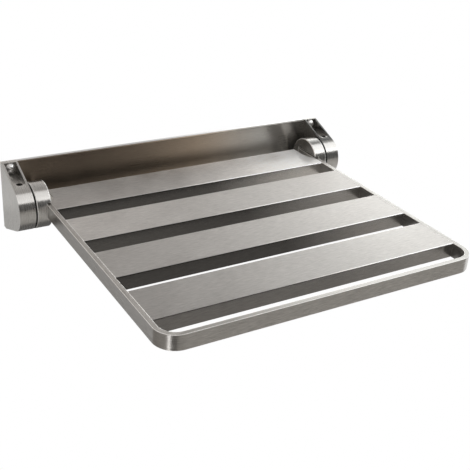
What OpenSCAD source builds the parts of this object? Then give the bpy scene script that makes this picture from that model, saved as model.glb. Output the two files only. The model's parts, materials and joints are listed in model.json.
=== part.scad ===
// Fold-down wall seat: a slatted stainless steel seat that turns between two wall brackets.
// X runs to the right, Y runs into the wall and Z runs up, in millimetres.
// The origin lies on the wall face, midway between the brackets, level with the hinge axis.
// The seat is drawn folded down, ready to sit on.

/* [Seat] */
// Width over the outer faces of the seat frame
seat_w = 408; // [340:2:480]
// Front-to-back width of one slat
slat_w = 60; // [48:1:74]
// Gap between two slats
slat_gap = 30; // [20:1:38]
// Gap between the front slat and the front bar
front_gap = 30; // [24:1:38]
// Distance that the seat reaches behind the hinge axis
rear_reach = 16; // [13:0.5:19]
// Height of the seat's top face above the hinge axis
seat_rise = 10; // [8:0.5:12]

/* [Frame bar] */
// Thickness of the flat bar that the frame is bent from
bar_t = 6; // [5:0.5:7.5]
// Height of the flat bar
bar_h = 18.5; // [15:0.5:22]
// Inner radius of the two front bends
bend_r = 19; // [12:1:24]

/* [Slats] */
// Sheet thickness of the slats
slat_sheet = 1.2; // [1:0.1:2]
// Inner radius of the slats' folded edges
slat_bend_r = 0.5; // [0.2:0.1:2.5]
// Side clearance between the rear slat and the frame, beside the drums
notch_gap = 8.5; // [6:0.5:12]
// Radius of the rear slat's cut-outs
notch_r = 25; // [20:0.5:29]
// Distance from the hinge axis forward to the middle of that radius
notch_reach = 3.5; // [2:0.5:6]

/* [Hinge drums] */
// Radius of the drums and of the brackets' round noses
knuckle_r = 29.5; // [27:0.5:33]
// Width of a drum outside the frame bar
drum_out = 13; // [12:0.5:16]
// Open height left above the frame bar in the drum's slot
slot_gap = 2; // [0.5:0.5:3]
// Chamfer on the drum's edges
drum_chamfer = 0.7; // [0.3:0.1:1.2]

/* [Wall brackets] */
// Width of a bracket
bracket_w = 20; // [17:0.5:26]
// Height of a bracket at the wall
bracket_h = 90; // [75:1:108]
// Distance from the wall to the hinge axis
axis_to_wall = 44; // [38:0.5:54]
// Thickness of the bracket at the wall, behind its pockets
back_wall = 8.5; // [7:0.5:10]
// Gap between a wall screw's washer and the pocket's two sides
pocket_gap = 1.25; // [0.5:0.25:1.5]
// Gap between a wall screw's washer and the pocket's floor
pocket_low = 1.75; // [0.5:0.25:3]
// Distance from the hinge axis back to the centre of the pocket's round end
pocket_back = 2; // [0:0.5:4]

/* [Back plate] */
// Depth of the folded plate, from the wall to its front face
plate_d = 6.5; // [5:0.5:8]
// Sheet thickness of the plate
plate_sheet = 1.5; // [1:0.1:2]
// Outer radius of the plate's folded edges
plate_fold_r = 2; // [1.8:0.1:3]

/* [Pivot] */
// Diameter of the pivot pin
pin_d = 16; // [13:0.5:17]
// Wall thickness of the bush
bush_wall = 2; // [1.5:0.25:3]
// Thickness of the friction washer between drum and bracket
washer_t = 2; // [1.5:0.25:3]
// How far the friction washer's rim lies inside the drum's rim
washer_inset = 0.3; // [0.2:0.1:1]
// Material left outside the blind bore of the bracket
bore_end = 3; // [2.5:0.5:5]
// Material left between the frame bar and the pivot pin
pin_root = 1.5; // [1:0.5:3]
// Depth of the recess for the disc spring
spring_seat = 2; // [1.8:0.1:2.6]
// Wall left between the disc spring's recess and the stop pin's groove
spring_wall = 1.7; // [1:0.1:3]
// Thickness of the disc spring
spring_t = 1.2; // [0.8:0.1:1.4]

/* [Lock screw] */
// Diameter of the screw that locks the pivot pin in the bracket
lock_d = 8; // [6:0.5:9]
// Distance from the pocket's floor down to the top of the lock screw
lock_sink = 5; // [3:0.5:7]
// Diameter of the screw's smooth point
dog_d = 4.6; // [3.6:0.2:5]
// Width of the hexagon socket
socket_w = 4; // [3:0.5:4.5]
// Depth of the hexagon socket
socket_depth = 4; // [3:0.5:5]
// Depth of the groove in the pivot pin
groove_depth = 2; // [1.5:0.25:2.5]

/* [Stop] */
// Angle that the seat folds through
fold_angle = 90; // [75:1:92]
// Diameter of the stop pin
stop_d = 8; // [6:0.5:8.5]
// Wall left between the stop pin's groove and the drum's rim
stop_wall = 5.2; // [3:0.1:6]
// Depth of the curved groove that the stop pin runs in
stop_groove = 6; // [4:0.5:7]
// Length of the stop pin held in the bracket
stop_hold = 9.5; // [8:0.5:12]
// Angle of the stop pin below the horizontal, behind the axis
stop_angle = 45; // [40:1:50]

/* [Wall screws] */
// Diameter of a wall screw's shank
screw_d = 6; // [5:0.5:6]
// Length of a wall screw under its head
screw_l = 20; // [18:1:30]
// Diameter of the smooth neck that fills the screw's hole in the bracket
neck_d = 6.6; // [6.4:0.1:7]
// Diameter of a wall screw's head
head_d = 11.5; // [10:0.5:12]
// Height of a wall screw's head
head_h = 3.8; // [3:0.1:4.4]
// Distance from the bracket's top down to the middle of the upper wall screw
screw_drop = 7; // [6.5:0.25:9]
// How far a screw's washer stands out round the head
flat_rim = 0.5; // [0.25:0.25:1]
// Thickness of a screw's washer
flat_t = 1.2; // [1:0.1:1.6]
// Width of the cross recess in the head
cross_w = 1.3; // [1:0.1:1.6]
// Span of the cross recess in the head
cross_span = 6.4; // [5:0.2:7]
// Depth of the cross recess in the head
cross_depth = 2.4; // [1.6:0.1:2.8]

/* [Clearances] */
// Radial gap of a shaft that turns in its bush
run_gap = 0.05; // [0.02:0.01:0.1]
// Radial gap of a piece that is pressed or screwed into its seat
seat_gap = 0.02; // [0.01:0.01:0.04]
// Gap round a piece that passes another freely
free_gap = 0.3; // [0.2:0.05:0.5]

/* [Hidden] */
// Facets of round faces
$fn = 96;
// Extra length of a cut past the face that it opens
over = 1;
// Open space past the end of a pin in a blind bore
end_gap = 0.5;
// Gap between the disc spring and the friction washer
spring_gap = 0.1;
// Chamfer on the ends of pins and screws
pin_chamfer = 1;

// Planes across the seat, on its right-hand side
bar_in_x = seat_w / 2 - bar_t;
bar_out_x = seat_w / 2;
drum_out_x = bar_out_x + drum_out;
bracket_in_x = drum_out_x + washer_t;
bracket_mid_x = bracket_in_x + bracket_w / 2;
bracket_out_x = bracket_in_x + bracket_w;

// Depths and heights
axis_y = -axis_to_wall;
seat_back_y = axis_y + rear_reach;
seat_low_z = seat_rise - bar_h;
slat_pitch = slat_w + slat_gap;
seat_front_y = seat_back_y - 3 * slat_pitch - slat_w - front_gap - bar_t;
bend_out_r = bend_r + bar_t;
slat_fold_r = slat_bend_r + slat_sheet;
notch_x = bar_in_x - notch_gap;

// Wall screws, and the pockets that hold their heads
screw_z = bracket_h / 2 - screw_drop;
flat_r = head_d / 2 + flat_rim;
neck_l = back_wall + flat_t;
pocket_floor = screw_z - flat_r - pocket_low;
pocket_r = flat_r + pocket_gap;

// Pivot
pin_r = pin_d / 2;
bush_r = pin_r + run_gap + bush_wall;
pin_in_x = bar_out_x + pin_root;
bore_end_x = bracket_out_x - bore_end;
pin_end_x = bore_end_x - end_gap;
pin_neck_r = pin_r - groove_depth;
bush_end_x = bore_end_x - pin_chamfer;
lock_top_z = pocket_floor - lock_sink;
lock_low_z = bush_r + free_gap;
dog_low_z = pin_neck_r + end_gap;

// Stop pin, its groove and the disc spring's recess
path_r = stop_d / 2 + free_gap;
stop_r = knuckle_r - stop_wall - path_r;
spring_r = stop_r - path_r - spring_wall;

// Everything at the sides is drawn on the right, and mirrored for the left
module left() { mirror([1, 0, 0]) children(); }
module both() { children(); left() children(); }

// Extrude a side view, with its first axis along Y and its second along Z, from one X to another
module from_side(x_low, x_high) {
    translate([x_low, 0, 0]) rotate([90, 0, 90]) linear_extrude(x_high - x_low) children();
}

// Move to the hinge axis, with the new Z along it towards the right
module on_axis() { translate([0, axis_y, 0]) rotate([90, 0, 90]) children(); }

// Move to the stop pin, behind and below the hinge axis
module at_stop() { on_axis() rotate([0, 0, -stop_angle]) translate([stop_r, 0, 0]) children(); }

// A round bar or hole along Z, between two places on it; inside on_axis() that is the hinge axis
module axis_rod(r, x_low, x_high) { translate([0, 0, x_low]) cylinder(r = r, h = x_high - x_low); }

// A round bar with chamfered ends
module chamfered_rod(r, x_low, x_high, chamfer) {
    rotate_extrude()
        polygon([
            [0, x_low], [r - chamfer, x_low], [r, x_low + chamfer],
            [r, x_high - chamfer], [r - chamfer, x_high], [0, x_high]
        ]);
}

// A rectangle from two corners
module box_2d(low, high) { translate(low) square(high - low); }

// Side view of a sheet folded down along both edges; the fold faces down from the top at zero
module channel_2d(width, depth, sheet, fold_r) {
    difference() {
        channel_fill_2d(width, depth, fold_r);
        translate([sheet, -over])
            channel_fill_2d(width - 2 * sheet, depth - sheet + over, fold_r - sheet);
    }
}

// Filled side view of a channel: square below, with its two upper corners rounded
module channel_fill_2d(width, depth, r) {
    box_2d([0, 0], [width, depth - r]);
    box_2d([r, 0], [width - r, depth]);
    for (x = [r, width - r]) translate([x, depth - r]) circle(r);
}

// Where a line from a corner touches the round nose, in the side view
corner = [axis_to_wall - back_wall, bracket_h / 2];
corner_reach = norm(corner);
touch_angle = atan2(corner[1], corner[0]) + acos(knuckle_r / corner_reach);
touch = knuckle_r * [cos(touch_angle), sin(touch_angle)];

// A bracket before its cuts: flat on the wall, with two slopes that run into a round nose
module bracket_block() {
    on_axis() axis_rod(knuckle_r, bracket_in_x, bracket_out_x);
    from_side(bracket_in_x, bracket_out_x)
        polygon([
            [0, -bracket_h / 2], [-back_wall, -bracket_h / 2], [axis_y + touch[0], -touch[1]],
            [axis_y, 0],
            [axis_y + touch[0], touch[1]], [-back_wall, bracket_h / 2], [0, bracket_h / 2]
        ]);
}

// Plan of a pocket: straight sides, a round front end and a flat back
module pocket_2d() {
    pocket_y = axis_y + pocket_back;
    translate([bracket_mid_x, pocket_y]) circle(pocket_r);
    box_2d([bracket_mid_x - pocket_r, pocket_y], [bracket_mid_x + pocket_r, -back_wall]);
}

module pocket() {
    translate([0, 0, pocket_floor]) linear_extrude(bracket_h / 2 - pocket_floor + over) pocket_2d();
}

// Holes for the wall screws, one in each pocket
module screw_holes() {
    for (side = [-1, 1])
        translate([bracket_mid_x, over, side * screw_z])
            rotate([90, 0, 0]) cylinder(r = neck_d / 2 + free_gap, h = back_wall + 2 * over);
}

module wall_bracket() {
    color("#b0b0ae") difference() {
        bracket_block();
        pocket();
        mirror([0, 0, 1]) pocket();
        screw_holes();
        on_axis() axis_rod(bush_r, bracket_in_x - over, bore_end_x);
        at_stop() axis_rod(stop_d / 2, bracket_in_x - over, bracket_in_x + stop_hold + end_gap);
        translate([bracket_mid_x, axis_y, 0]) cylinder(r = lock_d / 2, h = pocket_floor + over);
    }
}

module back_plate() {
    color("#55504c")
        from_side(-bracket_in_x, bracket_in_x)
            rotate([0, 0, 90]) translate([-bracket_h / 2, 0])
                channel_2d(bracket_h, plate_d, plate_sheet, plate_fold_r);
}

// A pan-head screw with a cross recess, its head seat at zero and its neck and shank along +Z
module pan_screw() {
    dome_r = (head_d * head_d / 4 + head_h * head_h) / (2 * head_h);
    difference() {
        union() {
            chamfered_rod(screw_d / 2, 0, screw_l, pin_chamfer);
            axis_rod(neck_d / 2, -head_h / 2, neck_l);
            intersection() {
                translate([0, 0, dome_r - head_h]) sphere(dome_r);
                translate([0, 0, -head_h]) cylinder(r = head_d, h = head_h);
            }
        }
        for (turn = [0, 90])
            rotate([0, 0, turn])
                translate([-cross_span / 2, -cross_w / 2, -head_h - over])
                    cube([cross_span, cross_w, cross_depth + over]);
    }
}

// The four places where a wall screw stands, its shank pointing into the wall
module at_wall_screws() {
    for (x = [-bracket_mid_x, bracket_mid_x], z = [-screw_z, screw_z])
        translate([x, -neck_l, z]) rotate([-90, 0, 0]) children();
}

module wall_screws() { color("#e4e4e2") at_wall_screws() pan_screw(); }

module wall_screw_washers() {
    color("#cfcfcd") at_wall_screws()
        difference() {
            cylinder(r = flat_r, h = flat_t);
            axis_rod(neck_d / 2 + free_gap, -over, flat_t + over);
        }
}

module pivot_bush() {
    color("#b98a4a") difference() {
        on_axis() difference() {
            axis_rod(bush_r - seat_gap, bracket_in_x, bush_end_x);
            axis_rod(pin_r + run_gap, bracket_in_x - over, bush_end_x + over);
        }
        translate([bracket_mid_x, axis_y, 0]) cylinder(r = dog_d / 2 + free_gap, h = bush_r + over);
    }
}

// A headless screw whose smooth point holds the pivot pin by its groove
module lock_screw() {
    difference() {
        union() {
            chamfered_rod(lock_d / 2 - seat_gap, lock_low_z, lock_top_z, pin_chamfer);
            translate([0, 0, dog_low_z]) cylinder(r = dog_d / 2, h = lock_low_z - dog_low_z + over);
        }
        translate([0, 0, lock_top_z - socket_depth])
            cylinder(r = socket_w / 2 / cos(30), h = socket_depth + over, $fn = 6);
    }
}

module pivot_lock_screws() {
    color("#8f8f8d") both() translate([bracket_mid_x, axis_y, 0]) lock_screw();
}

module stop_pin() {
    color("#a8a8a6") at_stop()
        chamfered_rod(stop_d / 2 - seat_gap, drum_out_x - stop_groove + end_gap,
                      bracket_in_x + stop_hold, pin_chamfer);
}

module friction_washer() {
    color("#18181a") difference() {
        on_axis() difference() {
            axis_rod(knuckle_r - washer_inset, drum_out_x, bracket_in_x);
            axis_rod(pin_r + free_gap, drum_out_x - over, bracket_in_x + over);
        }
        at_stop() axis_rod(stop_d / 2 + seat_gap, drum_out_x - over, bracket_in_x + over);
    }
}

// Plan of the frame: a flat bar bent round two front corners, open at the back
module frame_plan(half_w, front_y, r) {
    box_2d([-half_w + r, front_y], [half_w - r, seat_back_y]);
    box_2d([-half_w, front_y + r], [half_w, seat_back_y]);
    for (side = [-1, 1]) translate([side * (half_w - r), front_y + r]) circle(r);
}

module seat_frame() {
    color("#8c8c8a")
        translate([0, 0, seat_low_z]) linear_extrude(bar_h) difference() {
            frame_plan(bar_out_x, seat_front_y, bend_out_r);
            frame_plan(bar_in_x, seat_front_y + bar_t, bend_r);
            box_2d([-bar_in_x, axis_y], [bar_in_x, seat_back_y + over]);
        }
}

// A slat: a sheet folded down along both edges, welded between the frame's side bars
module slat(place) {
    back_y = seat_back_y - place * slat_pitch;
    color("#c0bfbc")
        from_side(-bar_in_x, bar_in_x)
            translate([back_y - slat_w, seat_low_z])
                channel_2d(slat_w, bar_h, slat_sheet, slat_fold_r);
}

// Plan of the cut-out that leaves room beside a drum
module notch_2d() {
    notch_y = axis_y - notch_reach;
    translate([notch_x + notch_r, notch_y]) circle(notch_r);
    box_2d([notch_x, notch_y], [notch_x + notch_r, seat_back_y + over]);
}

module rear_slat() {
    color("#c0bfbc") difference() {
        slat(0);
        translate([0, 0, seat_low_z - over]) linear_extrude(bar_h + 2 * over) {
            notch_2d();
            mirror([1, 0]) notch_2d();
        }
    }
}

// The curved groove in the drum's outer face that the stop pin runs in
module stop_path() {
    groove_x = drum_out_x - stop_groove;
    on_axis() {
        rotate([0, 0, -stop_angle]) translate([0, 0, groove_x]) rotate_extrude(angle = fold_angle)
            translate([stop_r - path_r, 0]) square([2 * path_r, stop_groove + over]);
        for (turn = [0, fold_angle])
            rotate([0, 0, turn - stop_angle]) translate([stop_r, 0, 0])
                axis_rod(path_r, groove_x, drum_out_x + over);
    }
}

// Half side view of a drum, turned about the hinge axis
module drum_half_2d() {
    c = drum_chamfer;
    polygon([
        [0, bar_in_x], [knuckle_r - c, bar_in_x], [knuckle_r, bar_in_x + c],
        [knuckle_r, drum_out_x - c], [knuckle_r - c, drum_out_x],
        [spring_r, drum_out_x], [spring_r, drum_out_x - spring_seat],
        [pin_r + seat_gap, drum_out_x - spring_seat], [pin_r + seat_gap, pin_in_x], [0, pin_in_x]
    ]);
}

module hinge_drum() {
    color("#b4b4b2") difference() {
        on_axis() rotate_extrude() drum_half_2d();
        translate([bar_in_x - over, axis_y - knuckle_r - over, seat_low_z])
            cube([bar_t + over, knuckle_r + over + rear_reach, bar_h + slot_gap]);
        stop_path();
    }
}

module pivot_pin() {
    color("#9c9c9a") on_axis() difference() {
        chamfered_rod(pin_r, pin_in_x, pin_end_x, pin_chamfer);
        neck_half = dog_d / 2 + free_gap;
        difference() {
            axis_rod(pin_d, bracket_mid_x - neck_half, bracket_mid_x + neck_half);
            axis_rod(pin_neck_r, bracket_mid_x - neck_half - over, bracket_mid_x + neck_half + over);
        }
    }
}

// A shallow cone of spring steel that presses the friction washer on the bracket
module disc_spring() {
    in_r = pin_r + free_gap;
    out_r = spring_r - free_gap;
    low_x = drum_out_x - spring_seat;
    high_x = drum_out_x - spring_gap;
    color("#6f6f72") on_axis() rotate_extrude()
        polygon([[in_r, high_x - spring_t], [out_r, low_x], [out_r, low_x + spring_t], [in_r, high_x]]);
}

left() wall_bracket();  // wall_bracket_left
wall_bracket();  // wall_bracket_right
back_plate();
wall_screws();
wall_screw_washers();
left() pivot_bush();  // pivot_bush_left
pivot_bush();  // pivot_bush_right
pivot_lock_screws();
left() stop_pin();  // stop_pin_left
stop_pin();  // stop_pin_right
left() friction_washer();  // friction_washer_left
friction_washer();  // friction_washer_right
seat_frame();
slat(3);  // slat_front
slat(2);  // slat_second
slat(1);  // slat_third
rear_slat();  // slat_rear
left() hinge_drum();  // hinge_drum_left
hinge_drum();  // hinge_drum_right
left() pivot_pin();  // pivot_pin_left
pivot_pin();  // pivot_pin_right
left() disc_spring();  // disc_spring_left
disc_spring();  // disc_spring_right
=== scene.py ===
# %% [markdown]
# # A fold-down wall seat in brushed steel
# The seat hangs between two brackets on a wall and folds up round a hinge. Every shape below starts from the
# measured model, so each piece lies where the real one would. Blender's own work is what the eye reads as steel:
# edges that are never quite sharp, a grain that runs one way, and a room for the metal to mirror.

# %% Load the measured seat
import json
import math

import bmesh
import bpy
from mathutils import Matrix, Vector


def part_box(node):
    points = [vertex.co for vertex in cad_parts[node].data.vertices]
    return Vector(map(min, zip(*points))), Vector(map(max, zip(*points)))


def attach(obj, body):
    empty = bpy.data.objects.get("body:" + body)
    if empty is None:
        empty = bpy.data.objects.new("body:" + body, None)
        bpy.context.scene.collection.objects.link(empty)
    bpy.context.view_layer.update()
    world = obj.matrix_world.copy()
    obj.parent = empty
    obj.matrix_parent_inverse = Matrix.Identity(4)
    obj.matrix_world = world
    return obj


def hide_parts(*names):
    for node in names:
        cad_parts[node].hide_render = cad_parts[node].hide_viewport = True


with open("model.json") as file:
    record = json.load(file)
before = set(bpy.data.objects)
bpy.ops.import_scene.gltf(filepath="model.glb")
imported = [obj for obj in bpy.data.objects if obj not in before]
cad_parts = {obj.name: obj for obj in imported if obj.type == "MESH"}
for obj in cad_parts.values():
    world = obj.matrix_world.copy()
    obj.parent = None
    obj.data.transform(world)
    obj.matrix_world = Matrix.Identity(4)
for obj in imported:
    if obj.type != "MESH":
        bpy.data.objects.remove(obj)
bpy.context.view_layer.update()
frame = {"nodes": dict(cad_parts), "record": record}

# %% [markdown]
# ## The sizes that the finishes need
# A turned grain runs round the hinge axis, and a brushed grain follows the frame's bent bar. Both need a few
# sizes. Where a box shows one, it is read from the box of its measured node, so it can't drift from the model. The
# bar's thickness and the outer radius of its bends show in no box. They are given in metres, as all sizes here.

# %% Read the hinge axis and the frame's plan
drum_low, drum_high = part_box("hinge_drum_right")
frame_low, frame_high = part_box("seat_frame")
AXIS_Y = (drum_low.y + drum_high.y) / 2
BEND_R = 0.025
BAR_T = 0.006
bend_x = frame_high.x - BEND_R
bend_y = frame_low.y + BEND_R
print("hinge axis at y", round(AXIS_Y * 1000, 1), "mm; seat's top at z", round(frame_high.z * 1000, 1), "mm")

# %% [markdown]
# ## Softened edges
# A milled block or a cut sheet has its edges broken with a file or a belt. The tiny round that this leaves
# catches the light as a bright line, and without it metal looks like paper. Each node's shape is copied, its flat
# faces are joined up, and a bevel rounds the sharp edges.
#
# The faces are sorted into material slots on the way. Slot 0 is the piece's own finish, and slot 1 is the worn
# edge that the bevel makes. Slots 2 and 3 are for places that the brush didn't reach, such as a pocket's walls.

# %% Copy a measured shape and soften its edges
FLAT = math.radians(0.3)
SHARP = math.radians(38)
SAME_POINT = 2e-6
EDGE_SLOT = 1
SLOTS = 4

def softened(name, node_name, width, segments=2, inside=None):
    """A new piece with the node's shape, its sharp edges rounded by width.

    inside gives each face's further finish by its centre: 0 for none, 1 for the first one and 2 for the second."""
    mesh = bpy.data.meshes.new(name)
    shape = bmesh.new()
    shape.from_mesh(frame["nodes"][node_name].data)
    bmesh.ops.remove_doubles(shape, verts=shape.verts, dist=SAME_POINT)
    bmesh.ops.dissolve_limit(shape, angle_limit=FLAT, verts=shape.verts, edges=shape.edges)
    for face in shape.faces:
        face.smooth = True
        further = int(inside(face.calc_center_median())) if inside else 0
        face.material_index = EDGE_SLOT + further if further else 0
    shape.to_mesh(mesh)
    shape.free()
    piece = bpy.data.objects.new(name, mesh)
    bpy.context.scene.collection.objects.link(piece)
    for slot in range(SLOTS):
        mesh.materials.append(None)
    bevel = piece.modifiers.new("broken edges", "BEVEL")
    bevel.width = width
    bevel.segments = segments
    bevel.limit_method = "ANGLE"
    bevel.angle_limit = SHARP
    bevel.material = EDGE_SLOT
    bevel.use_clamp_overlap = True
    return apply_modifiers(piece)

# %% [markdown]
# A bevel alone would shade a flat face as if it were slightly domed. Weighted normals keep the large faces flat,
# and all of the turning happens in the narrow round between them.

# %% Bake the softened shape
def bake_down(piece):
    evaluated = piece.evaluated_get(bpy.context.evaluated_depsgraph_get())
    mesh = bpy.data.meshes.new_from_object(evaluated)
    piece.modifiers.clear()
    piece.data = mesh
    return mesh

def apply_modifiers(piece):
    """Bake the piece's modifiers into its mesh, with flat faces shaded flat and rounds shaded round."""
    mesh = bake_down(piece)
    mesh.shade_smooth()
    mesh.set_sharp_from_angle(angle=SHARP)
    weigh = piece.modifiers.new("flat faces stay flat", "WEIGHTED_NORMAL")
    weigh.keep_sharp = True
    weigh.weight = 100
    bake_down(piece)
    return piece

# %% [markdown]
# ## Which way the grain runs
# Brushed steel is covered with fine scratches that all run one way. They stretch each reflection across the
# grain, so the direction matters more than the scratches. Here a UV map called grain says it: U runs along the
# scratches and V across them, both in metres. A rule turns each corner of each face into its U and V.

# %% Lay a grain map on a piece
def lay_grain(piece, rule):
    """Fill the UV map "grain" by rule(point, face normal, face centre) -> (along, across), in metres."""
    mesh = piece.data
    layer = mesh.uv_layers.new(name="grain")
    for face in mesh.polygons:
        for loop in face.loop_indices:
            point = mesh.vertices[mesh.loops[loop].vertex_index].co
            layer.data[loop].uv = rule(point, face.normal, face.center)
    return piece

# %% [markdown]
# Slats and back plate are folded sheets that were brushed along their length. Across the grain the map goes down
# over the folds, so the scratches stay parallel there.

# %% Grain along a folded sheet
def along_sheet(middle_y):
    def rule(point, normal, centre):
        side = 1 if centre.y < middle_y else -1
        return point.x, point.y + side * point.z
    return rule

def along_plate(point, normal, centre):
    side = 1 if centre.z > 0 else -1
    return point.x, point.z + side * point.y

# %% [markdown]
# The frame is one flat bar, brushed before it was bent, so its grain follows the bends. The rule measures how far
# along the bar a point lies: down the left side, round a bend, along the front, and back up the right side.

# %% Grain along the bent bar
front_run = 2 * bend_x
bend_run = math.pi / 2 * (BEND_R - BAR_T / 2)
print("the bar's front runs", round(front_run * 1000), "mm between two bends of", round(bend_run * 1000), "mm")

def along_bar(point, normal, centre):
    side = -1 if centre.x < 0 else 1
    if centre.y > bend_y:
        along = side * (front_run / 2 + bend_run + point.y - bend_y)
        depth = abs(point.x)
    elif abs(centre.x) > bend_x:
        turn = math.atan2(bend_y - point.y, abs(point.x) - bend_x)
        along = side * (front_run / 2 + bend_run * (1 - turn / (math.pi / 2)))
        depth = bend_x + math.hypot(abs(point.x) - bend_x, bend_y - point.y)
    else:
        along = point.x
        depth = bend_x + bend_y - point.y
    return along, point.z + depth

# %% [markdown]
# Drums and friction washers were turned on a lathe. Their scratches are rings: round the rim they follow the
# curve, and on the end faces they are circles. The brackets' flat sides were brushed from top to bottom, and their
# noses and slopes from the wall to the front. A face is an end or a side when its normal has more than SIDEWAYS
# of its length along X. An angle becomes a length by one even radius, so that a scratch is equally long
# everywhere.

# %% Grain round the hinge axis
SIDEWAYS = 0.7
RIM_GRAIN_R = 0.03
END_GRAIN_R = 0.02

def turned(point, normal, centre):
    """Rings round the hinge axis. A face's corners get angles on the same turn as its middle."""
    middle = math.atan2(centre.z, centre.y - AXIS_Y)
    angle = math.atan2(point.z, point.y - AXIS_Y)
    angle += 2 * math.pi * round((middle - angle) / (2 * math.pi))
    if abs(normal.x) > SIDEWAYS:
        return angle * END_GRAIN_R, math.hypot(point.y - AXIS_Y, point.z)
    return angle * RIM_GRAIN_R, point.x

def along_bracket(point, normal, centre):
    if abs(normal.x) > SIDEWAYS:
        return point.z, point.y
    return point.z - point.y, point.x

# %% [markdown]
# ## Words for materials
# A material is a small network of nodes, and most of the nodes here do one of three things: they read where a
# point lies or where its face looks, they turn a range of values into another one, or they multiply. A short
# helper for each keeps the recipes readable.

# %% Nodes, ramps and products
def node(tree, kind, **values):
    """A new node. Each value goes to its setting of that name, or else to its input, as From_Min to From Min."""
    made = tree.nodes.new(kind)
    for key, value in values.items():
        if hasattr(made, key):
            setattr(made, key, value)
        else:
            made.inputs[key.replace("_", " ")].default_value = value
    return made

def ramp(tree, value, start, end, low=0.0, high=1.0, smooth=False):
    """low up to start and high from end on, and even between them. high can be another node's output."""
    made = node(tree, "ShaderNodeMapRange", From_Min=start, From_Max=end, To_Min=low)
    if smooth:
        made.interpolation_type = "SMOOTHSTEP"
    if isinstance(high, bpy.types.NodeSocket):
        tree.links.new(high, made.inputs["To Max"])
    else:
        made.inputs["To Max"].default_value = high
    tree.links.new(value, made.inputs["Value"])
    return made.outputs["Result"]

def math_of(tree, operation, *values):
    made = node(tree, "ShaderNodeMath", operation=operation)
    for index, value in enumerate(values):
        tree.links.new(value, made.inputs[index])
    return made.outputs["Value"]

def times(tree, a, b):
    return math_of(tree, "MULTIPLY", a, b)

def where(tree, kind, letter):
    """One coordinate of the point (kind Object) or of the direction in which its face looks (kind Normal)."""
    place = node(tree, "ShaderNodeTexCoord")
    parts = node(tree, "ShaderNodeSeparateXYZ")
    tree.links.new(place.outputs[kind], parts.inputs["Vector"])
    return parts.outputs[letter]

# %% [markdown]
# Two noises carry the wear. One is stretched along the grain map, so its marks become scratches. The other is
# slow and even in all directions: the uneven pressure of the belt, and the touch of hands.

# %% Scratches and patches
def streaks(tree, along, across, detail=3.0):
    """A noise whose marks are long along the grain and fine across it; along and across are marks per metre."""
    grain = node(tree, "ShaderNodeUVMap", uv_map="grain")
    stretch = node(tree, "ShaderNodeMapping")
    stretch.inputs["Scale"].default_value = (along, across, 1)
    noise = node(tree, "ShaderNodeTexNoise", Scale=1.0, Detail=detail, Roughness=0.6)
    tree.links.new(grain.outputs["UV"], stretch.inputs["Vector"])
    tree.links.new(stretch.outputs["Vector"], noise.inputs["Vector"])
    return noise.outputs["Fac"]

def patches(tree, scale):
    """A slow noise over the whole seat, for uneven sanding and handling."""
    place = node(tree, "ShaderNodeTexCoord")
    noise = node(tree, "ShaderNodeTexNoise", Scale=scale, Detail=2.0, Roughness=0.5)
    tree.links.new(place.outputs["Object"], noise.inputs["Vector"])
    return noise.outputs["Fac"]

NOISE_LOW, NOISE_HIGH = 0.3, 0.7

def spread(tree, value, low, high):
    """Map a noise's middle range to low..high."""
    return ramp(tree, value, NOISE_LOW, NOISE_HIGH, low, high)

# %% [markdown]
# ## Tones that change over a piece
# Each helper below gives a factor for the steel's tone, and these factors are painted light and shade: they make
# the steel brighter or darker by where it lies and which way it looks, as light and reflections fall on the seat.
# They were fitted to one picture. The first two go across the seat's width and its depth. The others pick faces by
# the way they look: lips face the front or the back, the round of a fold lies between top and lip, and a pocket's
# walls stand upright.

# %% Tones by place and by face
SEAT_DEPTH = (-0.39, -0.04)
LIP_WIDTH = (0.02, 0.17)
FOLD_WIDTH = (-0.06, 0.10)
LIP_FACING = (0.5, 0.95)
FOLD_BEGINS, FOLD_ENDS = (0.1, 0.35), (0.75, 0.95)
LEVEL_FACING = (0.3, 0.9)

def by_width(start, end, left, right):
    """left up to start and right from end on, measured across the seat: a ramp of painted light and shade."""
    return lambda tree: ramp(tree, where(tree, "Object", "X"), start, end, left, right, smooth=True)

def by_depth(front, rear):
    """Painted light and shade: front at the seat's front edge, rear at the hinge."""
    return lambda tree: ramp(tree, where(tree, "Object", "Y"), *SEAT_DEPTH, front, rear)

def facing(tree, letter):
    """0 for a face that looks square to an axis, and 1 for one that looks along it, either way."""
    return math_of(tree, "ABSOLUTE", where(tree, "Normal", letter))

def on_lips(left, right):
    """1 on the brushed top, and left to right on the faces that look to the front or the back: painted shade or
    light on those faces, or a roughness factor.
    """
    def make(tree):
        tone = ramp(tree, where(tree, "Object", "X"), *LIP_WIDTH, left, right)
        return ramp(tree, facing(tree, "Y"), *LIP_FACING, 1.0, tone)
    return make

def fold_painted_highlight(right):
    """A painted highlight on the round of a fold, halfway between top and lip: 1 at the left end, right at the
    right one.
    """
    def make(tree):
        look = facing(tree, "Y")
        round_part = times(tree, ramp(tree, look, *FOLD_BEGINS), ramp(tree, look, *FOLD_ENDS, 1.0, 0.0))
        rightwards = by_width(*FOLD_WIDTH, 0.0, 1.0)(tree)
        return ramp(tree, times(tree, round_part, rightwards), 0.0, 1.0, 1.0, right)
    return make

def wall_painted_shade(tone):
    """1 on faces that look up or down, and tone on upright ones: painted shade on a pocket's walls."""
    return lambda tree: ramp(tree, facing(tree, "Z"), *LEVEL_FACING, tone, 1.0)

# %% [markdown]
# ## Brushed steel
# Steel has almost no colour of its own: it is a mirror, dimmed and blurred. Its shader is metallic, with a warm
# grey base. Three things make it brushed. The anisotropy stretches reflections. Cycles stretches them along the
# tangent, which is U here, so a rotation of a quarter turns the stretch across the scratches, as on real steel.
# A streak noise, short across the grain and long along it, varies roughness, brightness and height. A slow noise
# adds the uneven pressure of the belt.

# %% Make a steel material
ACROSS = 0.25
SCRATCHES, BANDS = 30, 90
BANDS_COARSER = 3
SANDING = 25.0
SANDED_TONE, SANDED_GRIT = (0.96, 1.04), (0.93, 1.07)

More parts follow.
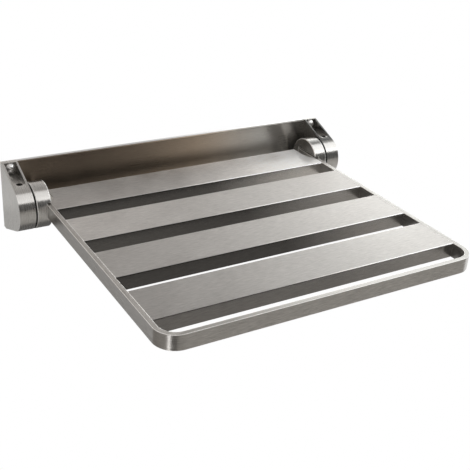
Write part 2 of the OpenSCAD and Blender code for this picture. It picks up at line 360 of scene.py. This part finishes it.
def tinted(tree, colour, fade, tone):
    """The colour times the tone; fade lets the colour drift to another one across the seat's width, as a painted
    reflection.
    """
    tint = node(tree, "ShaderNodeVectorMath", operation="SCALE")
    tint.inputs[0].default_value = colour
    if fade:
        start, end, right_colour = fade
        mix = node(tree, "ShaderNodeMix", data_type="VECTOR")
        mix.inputs["A"].default_value = colour
        mix.inputs["B"].default_value = right_colour
        tree.links.new(by_width(start, end, 0.0, 1.0)(tree), mix.inputs["Factor"])
        tree.links.new(mix.outputs["Result"], tint.inputs[0])
    tree.links.new(tone, tint.inputs["Scale"])
    return tint.outputs["Vector"]

def steel(name, colour, rough, stretch=0.6, fine=2600, streak=0.08, bump=0.00001, tones=(), lip_rough=1.0,
          fade=None):
    """Brushed steel. fine is its scratches per metre, streak how much they show, and tones are factors of painted
    light and shade by place.

    lip_rough is the factor of roughness on the folded lips, and fade, a painted reflection, is (start, end, colour
    at the right)."""
    material = bpy.data.materials.new(name)
    material.use_nodes = True
    tree = material.node_tree
    shader = tree.nodes["Principled BSDF"]
    shader.inputs["Metallic"].default_value = 1.0
    shader.inputs["Anisotropic"].default_value = stretch
    shader.inputs["Anisotropic Rotation"].default_value = ACROSS
    scratch = streaks(tree, SCRATCHES, fine)
    band = streaks(tree, BANDS, fine / BANDS_COARSER, 2.0)
    sanding = patches(tree, SANDING)
    tone = times(tree, spread(tree, scratch, 1 - streak, 1 + streak), spread(tree, sanding, *SANDED_TONE))
    tone = times(tree, tone, spread(tree, band, 1 - streak, 1 + streak))
    for factor in tones:
        tone = times(tree, tone, factor(tree))
    grit = times(tree, spread(tree, scratch, rough * 0.9, rough * 1.1), spread(tree, sanding, *SANDED_GRIT))
    if lip_rough != 1.0:
        grit = times(tree, grit, on_lips(lip_rough, lip_rough)(tree))
    tree.links.new(tinted(tree, colour, fade, tone), shader.inputs["Base Color"])
    tree.links.new(grit, shader.inputs["Roughness"])
    relief = node(tree, "ShaderNodeBump", Strength=0.5, Distance=bump)
    tree.links.new(scratch, relief.inputs["Height"])
    tree.links.new(relief.outputs["Normal"], shader.inputs["Normal"])
    tangent = node(tree, "ShaderNodeTangent", direction_type="UV_MAP", uv_map="grain")
    tree.links.new(tangent.outputs["Tangent"], shader.inputs["Tangent"])
    return material

# %% [markdown]
# ## The slats' steel
# All four slats are cut from the same sheet. Their tones carry painted light and shade: different at each slat's
# ends, brighter towards the rear, and a painted highlight on the round of each fold towards the right. Their lips
# were only touched by the belt, so they are glossier than the tops; their darker tone, lighter towards the right,
# is painted shade and reflection. Underneath, the sheet still has the dull, pale finish of the rolling mill, made
# paler still as painted light in the channel's shade.

# %% Mix the slats' steels
SLAT_END = 0.19

def slat_steel(name, left, right, lip_left=0.24, rise=0.0):
    """A slat's steel, with painted light and shade at both ends; the right one grows from x = rise on."""
    tones = [fold_painted_highlight(2.4), by_width(-SLAT_END, 0.0, left, 1.0), by_width(rise, SLAT_END, 1.0, right),
             by_depth(0.84, 1.26), on_lips(lip_left, 0.85)]
    return steel(name, (0.527, 0.51, 0.492), rough=0.42, stretch=0.85, streak=0.12, tones=tones, lip_rough=0.5)

# The tones at each slat's ends are painted light and shade.
SLATS = {
    "slat_front": slat_steel("front slat steel", left=1.0, right=1.2, lip_left=0.65),
    "slat_second": slat_steel("second slat steel", left=1.06, right=1.18),
    "slat_third": slat_steel("third slat steel", left=1.3, right=1.10),
    "slat_rear": slat_steel("rear slat steel", left=1.05, right=1.65, rise=-0.05),
}
# The mill finish is pale partly as the unbrushed sheet is, and partly as painted light in the shade inside the
# channel.
MILL = steel("mill finish", (0.85, 0.83, 0.8), rough=0.4, stretch=0.0, fine=900, streak=0.04)
print("slats' steels:", [made.name for made in (*SLATS.values(), MILL)])

# %% [markdown]
# ## The other steels
# The frame's bar is smoother than the slats; its tone carries painted light and shade, darker towards the right,
# lighter on the faces that look to the front and back, and darker on the left bar's outer side. Drums and brackets
# were turned and milled fine, and their milled flats are painted darker at the right than at the left, a painted
# shade. The back plate's dark, warm colour at the left and its grey colour at the right are a painted reflection.
# Its folded rim is pale. A milled pocket has bright, coarse marks on its floor, and walls that the light hardly
# reaches, darkened with painted shade. Edges are rubbed almost white.
#
# Each by_width reads: from this x to that one, from this tone to that one. The frame's second one is so short that
# it paints shade only on the left bar's outer side.

# %% Mix the other steels
MACHINED = dict(colour=(0.72, 0.71, 0.69), rough=0.28, stretch=0.8, fine=3600, streak=0.05, bump=0.000004)
FOLDED = dict(rough=0.30, stretch=0.85, streak=0.05)

# Painted light and shade: the frame darker towards the right, lighter on its front and back faces, darker on the
# left bar's outer side.
FRAME = steel("frame steel", (0.505, 0.49, 0.47), rough=0.30, stretch=0.6, streak=0.16,
              tones=[by_width(0.0, 0.19, 1.0, 0.78), by_width(-0.204, -0.2, 0.86, 0.96), on_lips(1.15, 1.5)])
TURNED = steel("turned steel", **MACHINED)
# Painted shade: the milled flats of drums and brackets darker towards the right.
FLAT_PAINTED_SHADE = steel("milled flat", **MACHINED, tones=[by_width(-0.1, 0.1, 1.0, 0.42)])
# Painted reflection and shade: the plate's dark brown base, darker at the left, brighter and greyer towards the
# right, darker again at its right end.
PLATE = steel("plate steel", (0.265, 0.216, 0.168), **FOLDED,
              tones=[by_width(-0.15, 0.11, 0.68, 1.75), by_width(0.18, 0.205, 1.1, 0.8)],
              fade=(0.02, 0.15, (0.26, 0.251, 0.236)))
RIM = steel("plate rim steel", (0.9, 0.92, 0.93), **FOLDED)
# The pocket's upright walls get painted shade.
MILLED = steel("milled pocket", (0.66, 0.645, 0.62), rough=0.3, stretch=0.2, fine=900, streak=0.3,
               tones=[wall_painted_shade(0.42)])
SCREW = steel("screw steel", (1.0, 0.99, 0.97), rough=0.34, stretch=0.2, fine=1500, streak=0.04)
EDGE = steel("worn edge", (0.97, 0.96, 0.94), rough=0.45, stretch=0.0, fine=1500, streak=0.05)
print("other steels:", [made.name for made in (FRAME, TURNED, FLAT_PAINTED_SHADE, PLATE, RIM, MILLED, SCREW, EDGE)])

# %% [markdown]
# ## Black friction washer
# Between drum and bracket sits a black plastic disc. It is matte, and slightly paler where it is rubbed.

# %% Black plastic
RUBBED_SPOTS, MOULD_GRAIN = 90.0, 1600.0
RUBBED_PALER = 1.8
PLASTIC_SHINE = 0.15

def plastic(name, colour, rough):
    """Matte plastic, with paler rubbed spots and a fine mould grain, both told in marks per metre."""
    material = bpy.data.materials.new(name)
    material.use_nodes = True
    tree = material.node_tree
    shader = tree.nodes["Principled BSDF"]
    shader.inputs["Specular IOR Level"].default_value = PLASTIC_SHINE
    rubbed = patches(tree, RUBBED_SPOTS)
    mix = node(tree, "ShaderNodeMix", data_type="RGBA")
    mix.inputs["A"].default_value = (*colour, 1)
    mix.inputs["B"].default_value = (*[c * RUBBED_PALER for c in colour], 1)
    tree.links.new(spread(tree, rubbed, 0, 1), mix.inputs["Factor"])
    tree.links.new(mix.outputs["Result"], shader.inputs["Base Color"])
    tree.links.new(spread(tree, rubbed, rough * 0.9, rough * 1.15), shader.inputs["Roughness"])
    relief = node(tree, "ShaderNodeBump", Strength=0.3, Distance=0.00003)
    tree.links.new(patches(tree, MOULD_GRAIN), relief.inputs["Height"])
    tree.links.new(relief.outputs["Normal"], shader.inputs["Normal"])
    return material

BLACK = plastic("black plastic", (0.004, 0.004, 0.0043), rough=0.85)
print("friction washers:", BLACK.name)

# %% [markdown]
# ## Put a piece in the seat
# Each new piece stands for its measured node, and rides on that node's body. One helper says all of this, so that
# no piece is left behind when the seat folds. It fills the material slots one by one, because clearing them would
# forget which face has which finish.

# %% Hand a piece over to the seat
bodies = {n: body for body, members in frame["record"]["behaviour"]["bodies"].items() for n in members}

def stands_for(piece, node_name, face, edge=EDGE, further=()):
    finishes = (face, edge, *further)
    for index, finish in enumerate(finishes):
        piece.data.materials[index] = finish
    while len(piece.data.materials) > len(finishes):
        piece.data.materials.pop()
    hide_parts(node_name)
    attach(piece, bodies[node_name])
    print(piece.name, len(piece.data.polygons), "faces")
    return piece

# %% [markdown]
# ## Slats
# Four sheets, folded down along both long edges and welded between the side bars. The cut edges under the folds
# are thin, so their bevel is small. The inner side of each sheet gets the mill finish. A face belongs to it when
# it lies deeper than most of the sheet's thickness, and in the fold that depth is measured from the fold's round.

# %% Make the slats
SHEET = 0.0012
SHEET_EDGE = 0.00025
FOLD_R = 0.0017
INNER_DEPTH = 0.7 * SHEET

def under_sheet(low, high):
    """A test for the faces on the inner side of a folded sheet, which the brush never reached."""
    def test(centre):
        side = min(centre.y - low.y, high.y - centre.y)
        top = high.z - centre.z
        if side < FOLD_R and top < FOLD_R:
            return FOLD_R - math.hypot(FOLD_R - side, FOLD_R - top) > INNER_DEPTH
        return min(side, top) > INNER_DEPTH
    return test

for name in ("slat_front", "slat_second", "slat_third", "slat_rear"):
    low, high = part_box(name)
    piece = softened(name + "_sheet", name, SHEET_EDGE, inside=under_sheet(low, high))
    lay_grain(piece, along_sheet((low.y + high.y) / 2))
    stands_for(piece, name, SLATS[name], further=[MILL])

# %% [markdown]
# ## Frame
# The bar's long edges were broken with a belt, which leaves a round of half a millimetre all the way along.

# %% Make the frame
BAR_EDGE = 0.0006
piece = softened("seat_frame_bar", "seat_frame", BAR_EDGE, segments=3)
lay_grain(piece, along_bar)
stands_for(piece, "seat_frame", FRAME)

# %% [markdown]
# ## Hinge: drums and brackets
# Both are solid steel. The drums are turned, and the brackets are milled with noses of the same radius, so that
# the two read as one round when the seat is down. SLOPE is the direction, in Y and Z, in which a bracket's upper
# slope looks. Along it the slope lies as far from the hinge axis as the nose does. What lies deeper, between the
# pocket's walls, is pocket.

# %% Sort the faces of drums and brackets
NOSE_R = 0.0295
SLOPE = Vector((-0.35, 0.937))
SLOPE_FRONT = 0.009
POCKET_X = 0.229
POCKET_HALF = 0.0078
POCKET_Z = 0.012
POCKET_FRONT_Y, POCKET_BACK_Y = -0.05, -0.0075
BRACKET_GAP = 0.0021
SKIN = 0.0003
HAIR = 0.0001

def depth_to_slope(centre):
    """How far a point lies from the hinge axis, measured square to the nearer slope."""
    return Vector((centre.y - AXIS_Y, abs(centre.z))).dot(SLOPE)

def in_pocket(centre):
    """True for a face that lies below the bracket's outer skin, in a pocket."""
    between_walls = abs(abs(centre.x) - POCKET_X) < POCKET_HALF and abs(centre.z) > POCKET_Z
    below_skin = depth_to_slope(centre) < NOSE_R - SKIN
    return between_walls and below_skin and POCKET_FRONT_Y < centre.y < POCKET_BACK_Y

def bracket_part(centre):
    """1 for a pocket's faces, 2 for the milled slope and the side that faces the seat, 0 for the rest."""
    if in_pocket(centre):
        return 1
    on_slope = abs(depth_to_slope(centre) - NOSE_R) < 2 * HAIR and centre.y > AXIS_Y - SLOPE_FRONT
    return 2 if on_slope or abs(centre.x) < drum_high.x + BRACKET_GAP else 0

def drum_part(centre):
    """1 for the end that faces the seat."""
    return abs(centre.x) < drum_low.x + HAIR

# %% [markdown]
# The noses are what the eye goes to first, because a round mirror shows the whole room in one band. So drums and
# brackets get the widest bevels, in three steps.

# %% Make the drums and the brackets
DRUM_EDGE = 0.0007
BLOCK_EDGE = 0.0008

for side in ("left", "right"):
    drum, bracket = "hinge_drum_" + side, "wall_bracket_" + side
    piece = softened(drum + "_turned", drum, DRUM_EDGE, segments=3, inside=drum_part)
    lay_grain(piece, turned)
    stands_for(piece, drum, TURNED, further=[FLAT_PAINTED_SHADE])
    piece = softened(bracket + "_block", bracket, BLOCK_EDGE, segments=3, inside=bracket_part)
    lay_grain(piece, along_bracket)
    stands_for(piece, bracket, TURNED, further=[MILLED, FLAT_PAINTED_SHADE])

# %% [markdown]
# ## Back plate
# A folded tray that covers the wall between the brackets. Its folded top and bottom have a finish of their own.

# %% Make the back plate
plate_low, plate_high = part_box("back_plate")
FOLD_DEPTH = 0.0021

def on_rim(centre):
    """True for the plate's folded top and bottom, and for the inner side of its folds."""
    return abs(centre.z) > plate_high.z - HAIR or centre.y > plate_low.y + FOLD_DEPTH

piece = softened("back_plate_tray", "back_plate", SHEET_EDGE, inside=on_rim)
lay_grain(piece, along_plate)
stands_for(piece, "back_plate", PLATE, further=[RIM])

# %% [markdown]
# ## Screws and washers
# Four pan heads with a cross recess stand in the brackets' pockets, each on a flat washer. The recess's rim is
# where the driver rubs, so it is rounded too.

# %% Make the screws, their washers and the friction washers
SCREW_EDGE = 0.00015
WASHER_EDGE = 0.0002

def along_x(point, normal, centre):
    return point.x, point.y + point.z

piece = softened("wall_screws_bright", "wall_screws", SCREW_EDGE)
lay_grain(piece, along_x)
stands_for(piece, "wall_screws", SCREW)
piece = softened("wall_screw_washers_bright", "wall_screw_washers", WASHER_EDGE)
lay_grain(piece, along_x)
stands_for(piece, "wall_screw_washers", SCREW)
for washer in ("friction_washer_left", "friction_washer_right"):
    piece = softened(washer + "_disc", washer, SHEET_EDGE)
    lay_grain(piece, turned)
    stands_for(piece, washer, BLACK, edge=BLACK)

# %% [markdown]
# ## What stays inside
# Bushes, pins, springs and lock screws are hidden or almost hidden, and their measured shape is right. They keep
# it, and get their finish on their own slots. They have no grain map, so their scratches come from where a point
# lies: close together along the hinge axis, far apart round it.

# %% A finish for ground and oiled metal
ALONG_AXIS, ROUND_AXIS = 2500, 60
OIL_STAINS = 120.0

def ground(name, colour, rough):
    """Ground metal, with fine rings round the hinge axis and slow stains, both told in marks per metre."""
    material = bpy.data.materials.new(name)
    material.use_nodes = True
    tree = material.node_tree
    shader = tree.nodes["Principled BSDF"]
    shader.inputs["Metallic"].default_value = 1.0
    place = node(tree, "ShaderNodeTexCoord")
    stretch = node(tree, "ShaderNodeMapping")
    stretch.inputs["Scale"].default_value = (ALONG_AXIS, ROUND_AXIS, ROUND_AXIS)
    noise = node(tree, "ShaderNodeTexNoise", Scale=1.0, Detail=3.0)
    tree.links.new(place.outputs["Object"], stretch.inputs["Vector"])
    tree.links.new(stretch.outputs["Vector"], noise.inputs["Vector"])
    scratch = noise.outputs["Fac"]
    tone = times(tree, spread(tree, scratch, 0.92, 1.08), spread(tree, patches(tree, OIL_STAINS), 0.94, 1.06))
    tree.links.new(tinted(tree, colour, None, tone), shader.inputs["Base Color"])
    tree.links.new(spread(tree, scratch, rough * 0.85, rough * 1.15), shader.inputs["Roughness"])
    relief = node(tree, "ShaderNodeBump", Strength=0.3, Distance=0.00001)
    tree.links.new(scratch, relief.inputs["Height"])
    tree.links.new(relief.outputs["Normal"], shader.inputs["Normal"])
    return material

# %% Finish the inner pieces
GROUND = ground("ground steel", (0.48, 0.48, 0.47), rough=0.28)
BRONZE = ground("oiled bronze", (0.62, 0.42, 0.20), rough=0.34)
BLUED = ground("blued spring steel", (0.16, 0.17, 0.22), rough=0.3)
inner = {
    "pivot_bush_left": BRONZE, "pivot_bush_right": BRONZE, "pivot_lock_screws": GROUND,
    "stop_pin_left": GROUND, "stop_pin_right": GROUND, "pivot_pin_left": GROUND, "pivot_pin_right": GROUND,
    "disc_spring_left": BLUED, "disc_spring_right": BLUED,
}
for name, material in inner.items():
    mesh = frame["nodes"][name].data
    for index in range(len(mesh.materials)):
        mesh.materials[index] = material
    if not mesh.materials:
        mesh.materials.append(material)
print(len(inner), "inner pieces finished")

# %% [markdown]
# ## The camera
# It stands where the photographer stood: a metre from the seat, to its left and above it. Its place and direction
# come from fitting the seat's measured edges to the same edges in the photograph.

# %% Camera at the photograph's angle
camera_data = bpy.data.cameras.new("camera")
camera_data.sensor_width = 36
camera_data.lens = 64.99
camera = bpy.data.objects.new("camera", camera_data)
right = Vector((0.86170, -0.50379, 0.06053))
up = Vector((0.18384, 0.42116, 0.88816))
back = Vector((-0.47294, -0.75420, 0.45553))
camera_place = Matrix.Translation((-0.50429, -0.98704, 0.46463))
camera.matrix_world = camera_place @ Matrix((right, up, back)).transposed().to_4x4()
bpy.context.scene.collection.objects.link(camera)
bpy.context.scene.camera = camera
print("camera", round((camera.location - Vector((0, -0.2, 0))).length, 3), "m from the seat")

# %% [markdown]
# ## Soft boxes
# Steel shows what stands round it, so the room makes half of the picture. Overhead hang two soft boxes side by
# side. They draw the white band on the round noses. The right one is twice as bright, because the seat is
# brighter towards its right end.

# %% Two soft boxes
def soft_box(name, centre, size_x, size_y, radiance):
    """A lit rectangle that looks down. radiance is how bright its face is, whatever its size."""
    data = bpy.data.lights.new(name, "AREA")
    data.shape = "RECTANGLE"
    data.size, data.size_y = size_x, size_y
    data.energy = radiance * math.pi * size_x * size_y
    lamp = bpy.data.objects.new(name, data)
    lamp.location = centre
    lamp.visible_camera = False
    bpy.context.scene.collection.objects.link(lamp)
    print(name, round(data.energy, 1), "W")
    return lamp

soft_box("left soft box", (0.06, -0.745, 1.0), size_x=0.80, size_y=1.25, radiance=0.6)
soft_box("right soft box", (1.03, -0.585, 1.0), size_x=1.14, size_y=1.29, radiance=1.25)

# %% [markdown]
# ## Cards
# Photographers shape metal with black and white cards that stand outside the picture. Here the camera doesn't see
# them and they cast no shadow, so they show only where the steel mirrors them. A dark card stands in front of the
# seat, and its upper edge draws the lower border of the white band on the noses. It is higher at the right, where
# that border lies higher too. Two cards lie low, under the seat's rear and behind it, and the noses' lower halves
# mirror them. A smaller dark one lies low at the front left. A white strip stands at the left, low down too, and
# gives the pieces at that end a thin light edge.

# %% Cards for the steel to mirror
def card(name, corners, shade):
    """A flat card. shade is the share of light that it gives back."""
    mesh = bpy.data.meshes.new(name)
    mesh.from_pydata(corners, [], [tuple(range(len(corners)))])
    made = bpy.data.objects.new(name, mesh)
    bpy.context.scene.collection.objects.link(made)
    material = bpy.data.materials.new(name)
    material.use_nodes = True
    shader = material.node_tree.nodes["Principled BSDF"]
    shader.inputs["Base Color"].default_value = (shade, shade, shade, 1)
    shader.inputs["Roughness"].default_value = 1.0
    mesh.materials.append(material)
    made.visible_camera = False
    made.visible_shadow = False
    print(name, "has", len(corners), "corners and a shade of", shade)
    return made

# %% Hang and lay the cards
DARK_LEFT, DARK_RIGHT = -0.6, 4.0
DARK_Y = -1.6
DARK_FOOT, TOP_LEFT, TOP_RIGHT = -0.1, 1.17, 1.29
STEP_START, STEP_END = 0.7, 0.9
outline = [(DARK_LEFT, DARK_FOOT), (DARK_RIGHT, DARK_FOOT), (DARK_RIGHT, TOP_RIGHT), (STEP_END, TOP_RIGHT),
           (STEP_START, TOP_LEFT), (DARK_LEFT, TOP_LEFT)]
card("dark_card", [(x, DARK_Y, z) for x, z in outline], shade=0.05)

LOW_Z = -0.5

def low_card(name, left, right, front, back, shade):
    """A card that lies flat, well below the seat."""
    corners = [(left, front, LOW_Z), (right, front, LOW_Z), (right, back, LOW_Z), (left, back, LOW_Z)]
    return card(name, corners, shade)

low_card("low_card_right", left=-0.02, right=0.8, front=-0.2, back=1.0, shade=0.05)
low_card("low_card_left", left=-0.5, right=-0.02, front=-0.2, back=1.0, shade=0.25)
low_card("front_card", left=-1.1, right=-0.36, front=-1.5, back=-0.8, shade=0.04)

# %% Stand the white strip
STRIP_RIGHT, STRIP_LEFT = (-0.46, -0.66), (-0.53, -0.60)
STRIP_FOOT, STRIP_TOP = -0.55, -0.08
strip = card("white_strip", [(*STRIP_RIGHT, STRIP_FOOT), (*STRIP_LEFT, STRIP_FOOT), (*STRIP_LEFT, STRIP_TOP),
                             (*STRIP_RIGHT, STRIP_TOP)], shade=0.9)
strip_glow = strip.data.materials[0].node_tree.nodes["Principled BSDF"]
strip_glow.inputs["Emission Color"].default_value = (1, 1, 1, 1)
strip_glow.inputs["Emission Strength"].default_value = 1.5

# %% [markdown]
# ## The floor
# The floor is plain and pale grey, well below the seat, as it is under a seat on a wall. Behind the seat it turns
# white, which gives the white background. Only rays from the camera and from shiny or clear surfaces meet that
# white, so the metal mirrors the same background, and matte things get no more light from it.

# %% Lay the floor
FLOOR_Z = -0.7
FLOOR_HALF = 15
TO_THE_BACK, BACK_START, BACK_END = (0.447, 0.894, 0), -0.05, 0.13
TO_THE_RIGHT, RIGHT_START, RIGHT_END = (0.961, -0.276, 0), -1.95, -0.31

corners = [(x * FLOOR_HALF, y * FLOOR_HALF, FLOOR_Z) for x, y in ((-1, -1), (1, -1), (1, 1), (-1, 1))]
floor_mesh = bpy.data.meshes.new("floor")
floor_mesh.from_pydata(corners, [], [(0, 1, 2, 3)])
floor = bpy.data.objects.new("floor", floor_mesh)
bpy.context.scene.collection.objects.link(floor)

# %% Paint it
paint = bpy.data.materials.new("pale floor")
paint.use_nodes = True
tree = paint.node_tree
matte = tree.nodes["Principled BSDF"]
matte.inputs["Base Color"].default_value = (0.58, 0.57, 0.55, 1)
matte.inputs["Roughness"].default_value = 0.9
matte.inputs["Specular IOR Level"].default_value = 0.1
white = node(tree, "ShaderNodeEmission", Strength=1.0)
white.inputs["Color"].default_value = (1, 1, 1, 1)

def ramp_along(direction, start, end):
    """0 before start and 1 after end, measured along a direction on the floor."""
    place = node(tree, "ShaderNodeTexCoord")
    dot = node(tree, "ShaderNodeVectorMath", operation="DOT_PRODUCT")
    dot.inputs[1].default_value = direction
    tree.links.new(place.outputs["Object"], dot.inputs[0])
    return ramp(tree, dot.outputs["Value"], start, end, smooth=True)

behind = ramp_along(TO_THE_BACK, BACK_START, BACK_END)
behind = times(tree, behind, ramp_along(TO_THE_RIGHT, RIGHT_START, RIGHT_END))
ray = node(tree, "ShaderNodeLightPath")
seen = math_of(tree, "MAXIMUM", ray.outputs["Is Camera Ray"], ray.outputs["Is Glossy Ray"])
seen = math_of(tree, "MAXIMUM", seen, ray.outputs["Is Transmission Ray"])
mix = node(tree, "ShaderNodeMixShader")
tree.links.new(times(tree, behind, seen), mix.inputs["Fac"])
tree.links.new(matte.outputs["BSDF"], mix.inputs[1])
tree.links.new(white.outputs["Emission"], mix.inputs[2])
tree.links.new(mix.outputs["Shader"], tree.nodes["Material Output"].inputs["Surface"])
floor_mesh.materials.append(paint)
print("floor", FLOOR_Z, "m below the hinge")

# %% [markdown]
# ## Walls and ceiling
# The world is the room, told by direction: X is to the right and Z is up, each from -1 to 1. The walls are pale,
# and brighter to the right, where the slats look. They are brightest low down, dim again at the far right, and
# give way to a darker ceiling. A valance darkens all that is high up at the right, so that the faces which mirror
# that part of the room stay dark.

# %% Shade the room
world = bpy.data.worlds.new("room")
bpy.context.scene.world = world
world.use_nodes = True
tree = world.node_tree
direction = node(tree, "ShaderNodeTexCoord")
parts = node(tree, "ShaderNodeSeparateXYZ")
tree.links.new(direction.outputs["Generated"], parts.inputs["Vector"])
to_x, to_z = parts.outputs["X"], parts.outputs["Z"]

walls = ramp(tree, to_x, 0.40, 0.65, 0.52, 2.3)
low_is_brighter = ramp(tree, to_z, 0.38, 0.55, 1.4, 0.8)
far_right_is_dim = ramp(tree, to_x, 0.68, 0.85, 1.0, 0.3)
ceiling = ramp(tree, to_x, 0.2, 0.6, 0.42, 0.2)
height = ramp(tree, to_z, 0.48, 0.8, smooth=True)
blend = node(tree, "ShaderNodeMix", data_type="FLOAT")
tree.links.new(height, blend.inputs["Factor"])
tree.links.new(times(tree, times(tree, walls, low_is_brighter), far_right_is_dim), blend.inputs["A"])
tree.links.new(ceiling, blend.inputs["B"])
patch = times(tree, ramp(tree, to_z, 0.60, 0.69), ramp(tree, to_x, 0.34, 0.46))
valance = ramp(tree, patch, 0.0, 1.0, 1.0, 0.2)

# %% [markdown]
# The light is a little warm at the left and neutral at the right. Steel takes on exactly that: its grey is
# warmer on the side that mirrors the warm wall.

# %% Tint the room
WARM, NEUTRAL = (1, 0.945, 0.905, 1), (0.985, 1, 0.985, 1)
air = node(tree, "ShaderNodeMix", data_type="RGBA")
air.inputs["A"].default_value = WARM
air.inputs["B"].default_value = NEUTRAL
tree.links.new(ramp(tree, to_x, 0.35, 0.62), air.inputs["Factor"])
glow = tree.nodes["Background"]
tree.links.new(air.outputs["Result"], glow.inputs["Color"])
tree.links.new(times(tree, blend.outputs["Result"], valance), glow.inputs["Strength"])
bpy.context.scene.view_settings.view_transform = "Standard"
print("room lit")
